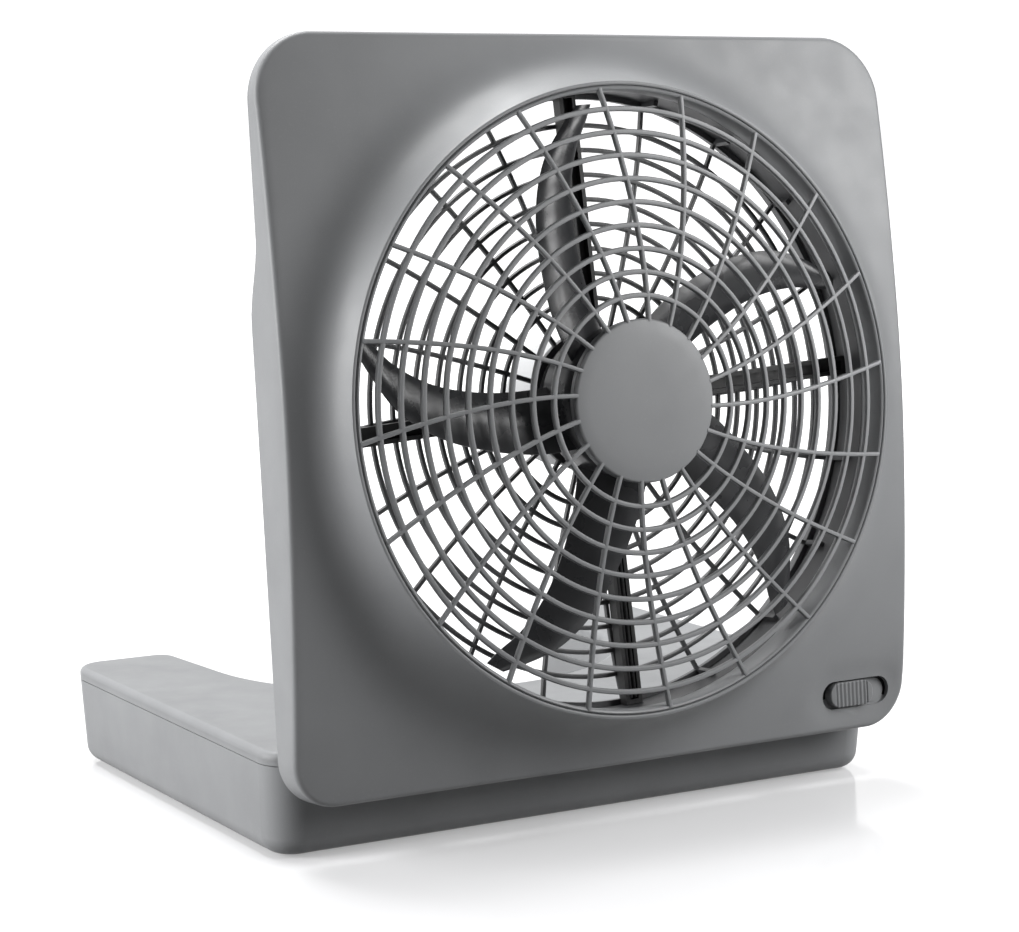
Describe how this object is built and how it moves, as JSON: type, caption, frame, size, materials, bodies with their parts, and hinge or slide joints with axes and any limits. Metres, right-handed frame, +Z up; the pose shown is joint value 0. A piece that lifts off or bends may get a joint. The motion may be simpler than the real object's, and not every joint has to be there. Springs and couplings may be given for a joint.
{
  "type": "folding battery fan",
  "caption": "Square box-shaped fan head that tilts and folds on a U-shaped battery base, with domed guard, slide switch and battery doors.",
  "frame": {"origin": "middle of the whole fan's footprint, on the surface that the base stands on", "axes": "+Z up, -Y out of the front of the fan, +X to the right as the fan is seen from the front"},
  "size_m": [0.3088, 0.2646, 0.3351],
  "materials": {
    "panel_grey": "satin moulded plastic",
    "housing_grey": "satin moulded plastic",
    "grille_grey": "satin moulded plastic",
    "cover_grey": "light satin plastic",
    "dark_grey": "dark satin plastic",
    "blade_grey": "dark satin plastic",
    "black_plastic": "matt black plastic",
    "knob_grey": "satin moulded plastic",
    "base_grey": "satin moulded plastic",
    "can_steel": "zinc-plated steel",
    "bright_steel": "nickel-plated steel",
    "bronze": "sintered bronze",
    "brass": "turned brass",
    "foot_rubber": "matt rubber",
    "cell_jacket": "plain cell jacket",
    "lead_black": "soft wire insulation"
  },
  "bodies": {
    "base": {"base_bottom_tray": "base_grey", "base_top_shell": "base_grey", "rubber_feet": "foot_rubber", "hinge_pin_left": "bright_steel", "hinge_pin_right": "bright_steel", "friction_washers": "bright_steel", "battery_cells_left": "cell_jacket", "battery_cells_right": "cell_jacket", "cell_contacts": "bright_steel", "power_inlet": "black_plastic"},
    "head": {"front_panel": "panel_grey", "rear_housing": "housing_grey", "front_grille": "grille_grey", "centre_cap": "panel_grey", "rear_grille": "dark_grey", "motor_bracket": "black_plastic", "motor_can": "can_steel", "motor_end_cap": "black_plastic", "motor_bush": "bronze", "motor_cover": "cover_grey", "switch_body": "black_plastic", "switch_mask": "black_plastic", "motor_leads": "lead_black", "head_screws": "bright_steel", "hinge_arm_left": "dark_grey", "hinge_arm_right": "dark_grey"},
    "rotor": {"impeller": "blade_grey", "motor_shaft": "bright_steel", "shaft_collar": "brass"},
    "knob": {"switch_knob": "knob_grey"},
    "door_left": {"battery_door_left": "base_grey"},
    "door_right": {"battery_door_right": "base_grey"}
  },
  "joints": [
    {"name": "head_fold", "type": "hinge", "parent": "base", "child": "head", "pos_m": [0, -0.079, 0.033], "axis": [-1, 0, 0], "range_deg": [-5.63, 84.37]},
    {"name": "rotor_spin", "type": "hinge", "parent": "head", "child": "rotor", "pos_m": [0, -0.09176, 0.18105], "axis": [0, -0.9952, 0.0981], "continuous": true},
    {"name": "knob_slide", "type": "slide", "parent": "head", "child": "knob", "axis": [1, 0, 0], "range_m": [0, 0.0066]},
    {"name": "door_left_pull", "type": "slide", "parent": "base", "child": "door_left", "axis": [0, 0, -1], "range_m": [0, 0.03]},
    {"name": "door_right_pull", "type": "slide", "parent": "base", "child": "door_right", "axis": [0, 0, -1], "range_m": [0, 0.03]}
  ]
}
